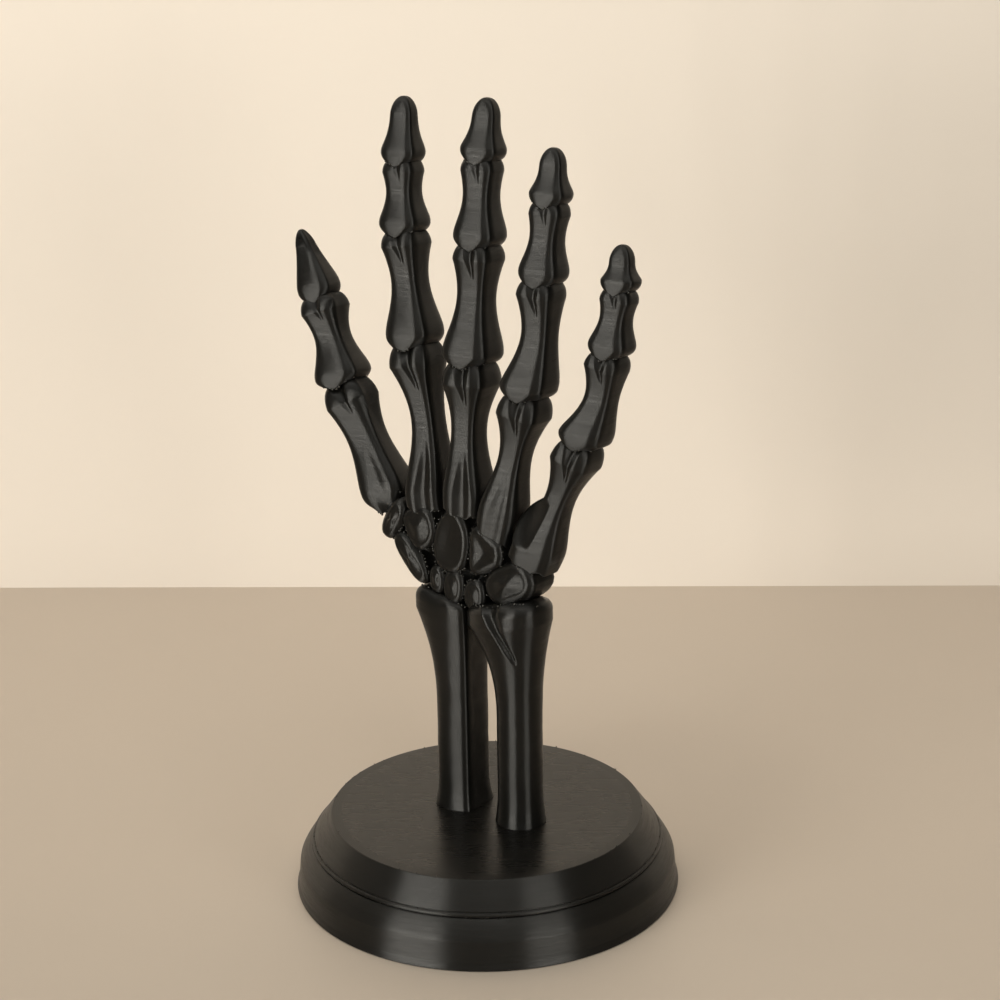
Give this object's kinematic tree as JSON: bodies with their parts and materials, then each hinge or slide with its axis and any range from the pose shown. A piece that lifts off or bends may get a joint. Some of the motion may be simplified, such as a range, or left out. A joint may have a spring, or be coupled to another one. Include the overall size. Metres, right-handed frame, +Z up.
{
  "type": "skeleton hand jewelry stand",
  "caption": "Bony left hand standing upright on a round stepped base, with slim fingers that hold rings and spread gaps that hang chains and bracelets.",
  "frame": {"origin": "centre of the flat underside of the base", "axes": "+Z up along the forearm, the palm faces -Y, +X towards the little finger"},
  "size_m": [0.1001, 0.089, 0.1802],
  "materials": {
    "bone_print": "black printed plastic, satin gloss, fine level layer lines",
    "base_print": "black printed plastic, satin, layer lines on the walls and straight passes on the flat top"
  },
  "bodies": {
    "base": {"base_foot": "base_print", "base_top": "base_print"},
    "hand": {"radius_bone": "bone_print", "ulna_bone": "bone_print", "scaphoid": "bone_print", "lunate": "bone_print", "triquetrum": "bone_print", "pisiform": "bone_print", "small_wrist_bone": "bone_print", "trapezium": "bone_print", "trapezoid": "bone_print", "capitate": "bone_print", "hamate": "bone_print", "thumb_metacarpal": "bone_print", "thumb_proximal": "bone_print", "thumb_distal": "bone_print", "index_metacarpal": "bone_print", "index_proximal": "bone_print", "index_middle": "bone_print", "index_distal": "bone_print", "middle_metacarpal": "bone_print", "middle_proximal": "bone_print", "middle_middle": "bone_print", "middle_distal": "bone_print", "ring_metacarpal": "bone_print", "ring_proximal": "bone_print", "ring_middle": "bone_print", "ring_distal": "bone_print", "little_metacarpal": "bone_print", "little_proximal": "bone_print", "little_middle": "bone_print", "little_distal": "bone_print"}
  },
  "joints": [
    {"name": "hand_lift", "type": "slide", "parent": "base", "child": "hand", "axis": [0, 0, 1], "range_m": [0, 0.02]}
  ]
}
